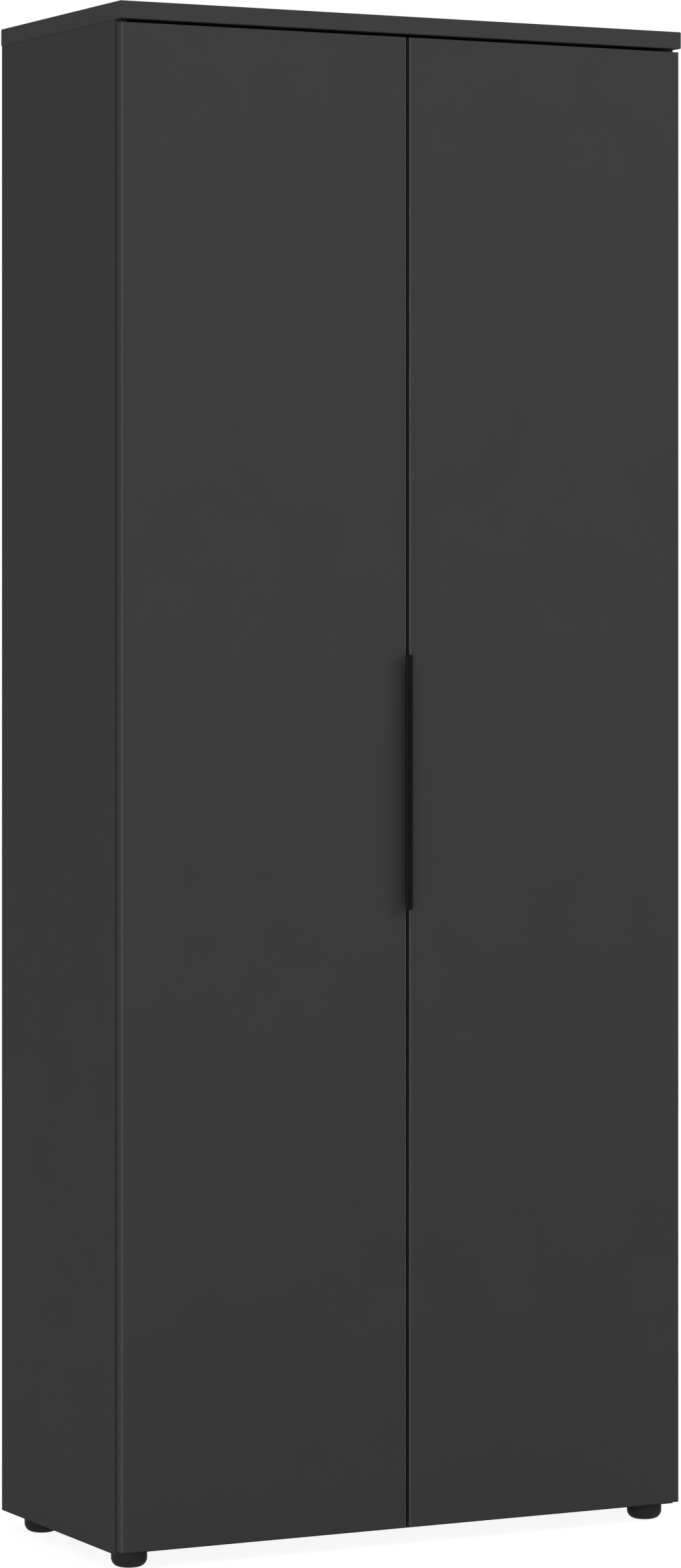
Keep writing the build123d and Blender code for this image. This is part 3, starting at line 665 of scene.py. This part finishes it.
def makeDowels(settings):
    # a fluted peg: the radius is r (1 - d (1 - cos(n a)) / 2), and both ends are bevelled
    pins, length = findPins("dowels", settings["apart"])
    radius, bevel = settings["radius"], settings["bevel"]
    radii = [0.0, radius - bevel, radius, radius, radius - bevel, 0.0]
    heights = [0.0, 0.0, bevel, length - bevel, length, length]

    def relief(wide, height, angle):
        flute = (1 - np.cos(settings["flutes"] * angle)) / 2
        return wide * (1 - settings["fluteDepth"] * flute), height

    peg = turnedSurface(radii, heights, settings["sides"], relief)
    places = [(axis, thin) for axis, thin, thick in pins]
    return addPiece("flutedDowels", placed(peg, places), "dowels", "beech")


makeDowels(flutedDowel)

# clothes rail: a thin tube with rolled ends, from front to back
railTube = {"radius": 0.0125, "wall": 0.0012, "sides": 128, "steps": 7}


def makeRail(settings):
    # the loop is the outer wall, a half circle at each end and the inner wall
    low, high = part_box("clothes_rail")
    length = high[1] - low[1]
    half = settings["wall"] / 2
    middle = settings["radius"] - half
    turn = np.linspace(0, np.pi, settings["steps"])
    radii = np.concatenate((middle + half * np.cos(turn), middle - half * np.cos(turn)))
    heights = np.concatenate((length - half + half * np.sin(turn), half - half * np.sin(turn)))
    tube = loopSurface(radii, heights, settings["sides"])
    place = (Vector(low) + Vector(high)) / 2
    place.y = low[1]
    return addPiece("chromeRail", placed(tube, [((0, 1, 0), np.array(place))]), "clothes_rail",
                    "chrome")


makeRail(railTube)

# soft pads behind the doors' free edges
softPad = {"sides": 48, "rows": 9, "sideBulge": 0.7, "topBulge": 0.8, "apart": 0.05}


def makePads(nodeName, settings):
    # a low dome: the radius is r cos(t) ^ sideBulge and the height h sin(t) ^ topBulge
    parts = clumps(nodePoints(nodeName), settings["apart"])
    low, high = parts[0].min(0), parts[0].max(0)
    radius, thick = (high[0] - low[0]) / 2, high[1] - low[1]
    turn = np.linspace(0, np.pi / 2, settings["rows"])[:-1]
    radii = np.concatenate(([0.0], radius * np.cos(turn) ** settings["sideBulge"], [0.0]))
    heights = np.concatenate(([0.0], thick * np.sin(turn) ** settings["topBulge"], [thick]))
    pad = turnedSurface(radii, heights, settings["sides"])
    places = [((0, 1, 0), (part.min(0) + part.max(0)) / 2 - (0, thick / 2, 0)) for part in parts]
    name = nodeName.split("_")[0] + "DoorPads"
    return addPiece(name, placed(pad, places), nodeName, "bumper")


for padNode in ("left_door_bumpers", "right_door_bumpers"):
    makePads(padNode, softPad)
print("stage: turned pieces made")


def addSeenRays(tree):
    # 1 for rays from the camera, and for those that reach it by a mirror or through glass
    path = tree.nodes.new("ShaderNodeLightPath").outputs
    first = addMath(tree, "MAXIMUM", path["Is Camera Ray"], path["Is Glossy Ray"])
    return addMath(tree, "MAXIMUM", first, path["Is Transmission Ray"])


# floor: pale where it lights the object; where it is seen, a glow near white with a faint
# surface on top that keeps the object's shadow
paleFloor = {"size": 40.0, "pale": 0.8, "glow": 0.915, "faint": 0.19}


def addGrey(tree, kind, level):
    shader = tree.nodes.new(kind)
    shader.inputs["Color"].default_value = (level, level, level, 1)
    return shader.outputs[0]


def makeFloor(settings):
    mesh = bpy.data.meshes.new("floor")
    corners = np.array([[-1, -1, 0], [1, -1, 0], [1, 1, 0], [-1, 1, 0]]) * settings["size"] / 2
    mesh.from_pydata(corners.tolist(), [], [(0, 1, 2, 3)])
    floor = bpy.data.objects.new("floor", mesh)
    bpy.context.scene.collection.objects.link(floor)
    mat = bpy.data.materials.new("pale floor")
    mat.use_nodes = True
    tree = mat.node_tree
    tree.nodes.clear()
    both = tree.nodes.new("ShaderNodeAddShader")
    tree.links.new(addGrey(tree, "ShaderNodeEmission", settings["glow"]), both.inputs[0])
    tree.links.new(addGrey(tree, "ShaderNodeBsdfDiffuse", settings["faint"]), both.inputs[1])
    mix = tree.nodes.new("ShaderNodeMixShader")
    tree.links.new(addSeenRays(tree), mix.inputs[0])
    tree.links.new(addGrey(tree, "ShaderNodeBsdfDiffuse", settings["pale"]), mix.inputs[1])
    tree.links.new(both.outputs[0], mix.inputs[2])
    out = tree.nodes.new("ShaderNodeOutputMaterial")
    tree.links.new(mix.outputs[0], out.inputs["Surface"])
    mesh.materials.append(mat)
    return floor


makeFloor(paleFloor)

# light: an even white sky and a few large soft lamps, each with its place, the point that it is
# aimed at, its width and height, and its watts
lighting = {
    "sky": 0.42,       # strength where it lights the object
    "skySeen": 1.0,    # strength where it is seen
    "lamps": {
        "key lamp": {"place": (4.4, -4.0, 3.6), "aim": (0.0, 0.0, 1.4), "size": (1.8, 1.8),
                     "watts": 122.0},
        "front lamp": {"place": (-0.3, -3.0, 4.8), "aim": (0.0, 0.0, 1.9), "size": (2.0, 2.0),
                       "watts": 54.0},
        "left lamp": {"place": (-3.2, -4.2, 1.1), "aim": (0.0, 0.0, 0.6), "size": (1.5, 1.8),
                      "watts": 80.0},
        "rear lamp": {"place": (1.5, 4.5, 3.4), "aim": (0.0, 0.0, 1.0), "size": (3.0, 3.0),
                      "watts": 80.0},
    },
}


def makeSky(settings):
    world = bpy.data.worlds.new("studio")
    world.use_nodes = True
    bpy.context.scene.world = world
    tree = world.node_tree
    tree.nodes.clear()
    mix = tree.nodes.new("ShaderNodeMixShader")
    tree.links.new(addSeenRays(tree), mix.inputs[0])
    for target, strength in ((mix.inputs[1], settings["sky"]), (mix.inputs[2], settings["skySeen"])):
        background = tree.nodes.new("ShaderNodeBackground")
        setSockets(background, {"Color": (1, 1, 1, 1), "Strength": strength})
        tree.links.new(background.outputs[0], target)
    out = tree.nodes.new("ShaderNodeOutputWorld")
    tree.links.new(mix.outputs[0], out.inputs["Surface"])


def makeLamp(name, settings):
    lamp = bpy.data.lights.new(name, "AREA")
    lamp.shape = "RECTANGLE"
    lamp.size, lamp.size_y = settings["size"]
    lamp.energy = settings["watts"]
    holder = bpy.data.objects.new(name, lamp)
    holder.location = settings["place"]
    direction = Vector(settings["aim"]) - Vector(settings["place"])
    holder.rotation_mode = "QUATERNION"
    holder.rotation_quaternion = direction.to_track_quat("-Z", "Y")
    bpy.context.scene.collection.objects.link(holder)


makeSky(lighting)
for lampName, lampSettings in lighting["lamps"].items():
    makeLamp(lampName, lampSettings)

# camera: level, turned to see the front and the left side, with a vertical shift; its place is
# in metres, the turn in degrees, the lens and the sensor in millimetres
view = {"place": (-3.0361, -5.9508, 1.2032), "turn": -26.99, "lens": 118.39, "shiftY": -0.12047,
        "sensor": 36.0, "farthest": 200.0}


def makeCamera(settings):
    data = bpy.data.cameras.new("camera")
    data.sensor_width = settings["sensor"]
    data.lens = settings["lens"]
    data.shift_y = settings["shiftY"]
    data.clip_end = settings["farthest"]
    camera = bpy.data.objects.new("camera", data)
    camera.location = settings["place"]
    camera.rotation_euler = (radians(90), 0, radians(settings["turn"]))
    bpy.context.scene.collection.objects.link(camera)
    bpy.context.scene.camera = camera


makeCamera(view)
bpy.context.scene.view_settings.view_transform = "Standard"
print("stage: floor, light and camera made")
